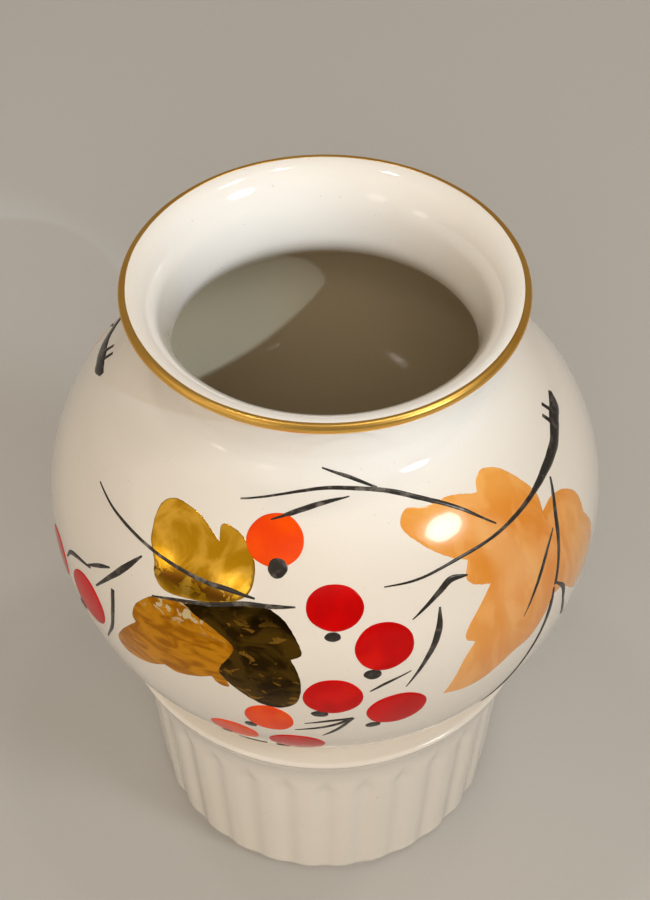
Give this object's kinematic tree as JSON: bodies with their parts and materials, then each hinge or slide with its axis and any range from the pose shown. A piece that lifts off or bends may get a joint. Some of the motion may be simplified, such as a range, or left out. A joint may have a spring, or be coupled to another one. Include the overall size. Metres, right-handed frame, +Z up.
{
  "type": "flower vase",
  "caption": "Round-bellied glazed porcelain vase with a flared gilded mouth, a fluted drum foot and a painted spray of leaves and berries.",
  "frame": {"origin": "centre of the foot ring's underside, on the surface that the vase stands on", "axes": "+Z up along the vase's axis, -Y towards the side that carries the front painting, +X to its right"},
  "size_m": [0.1358, 0.1362, 0.1781],
  "materials": {
    "porcelain": "warm white porcelain under a clear, high-gloss glaze",
    "bright_gold": "mirror-bright fired gold",
    "copper_gold": "brushed-on fired gold, copper toned and streaky",
    "dark_gold": "thin dark fired gold, mottled and glossy",
    "orange_lustre": "brushed orange-ochre lustre enamel",
    "red_enamel": "glossy red on-glaze enamel",
    "orange_enamel": "glossy orange on-glaze enamel",
    "dark_enamel": "grey-black on-glaze enamel laid with a brush"
  },
  "bodies": {
    "root": {"back_berry_eyes": "dark_enamel", "back_copper_leaf": "copper_gold", "back_dark_leaf": "dark_gold", "back_gold_leaf": "bright_gold", "back_gold_leaf_veins": "dark_enamel", "back_leaf_stems": "dark_enamel", "back_long_twig": "dark_enamel", "back_loose_twigs": "dark_enamel", "back_lustre_leaf": "orange_lustre", "back_orange_berry_1": "orange_enamel", "back_orange_berry_2": "orange_enamel", "back_orange_berry_3": "orange_enamel", "back_red_berry_1": "red_enamel", "back_red_berry_2": "red_enamel", "back_red_berry_3": "red_enamel", "back_red_berry_4": "red_enamel", "back_red_berry_5": "red_enamel", "back_red_berry_6": "red_enamel", "back_red_berry_7": "red_enamel", "back_side_twigs": "dark_enamel", "back_thick_branch": "dark_enamel", "bulb": "porcelain", "fluted_foot": "porcelain", "front_berry_eyes": "dark_enamel", "front_copper_leaf": "copper_gold", "front_dark_leaf": "dark_gold", "front_gold_leaf": "bright_gold", "front_gold_leaf_veins": "dark_enamel", "front_leaf_stems": "dark_enamel", "front_long_twig": "dark_enamel", "front_loose_twigs": "dark_enamel", "front_lustre_leaf": "orange_lustre", "front_orange_berry_1": "orange_enamel", "front_orange_berry_2": "orange_enamel", "front_orange_berry_3": "orange_enamel", "front_red_berry_1": "red_enamel", "front_red_berry_2": "red_enamel", "front_red_berry_3": "red_enamel", "front_red_berry_4": "red_enamel", "front_red_berry_5": "red_enamel", "front_red_berry_6": "red_enamel", "front_red_berry_7": "red_enamel", "front_side_twigs": "dark_enamel", "front_thick_branch": "dark_enamel", "rim_gilding": "bright_gold"}
  },
  "joints": []
}
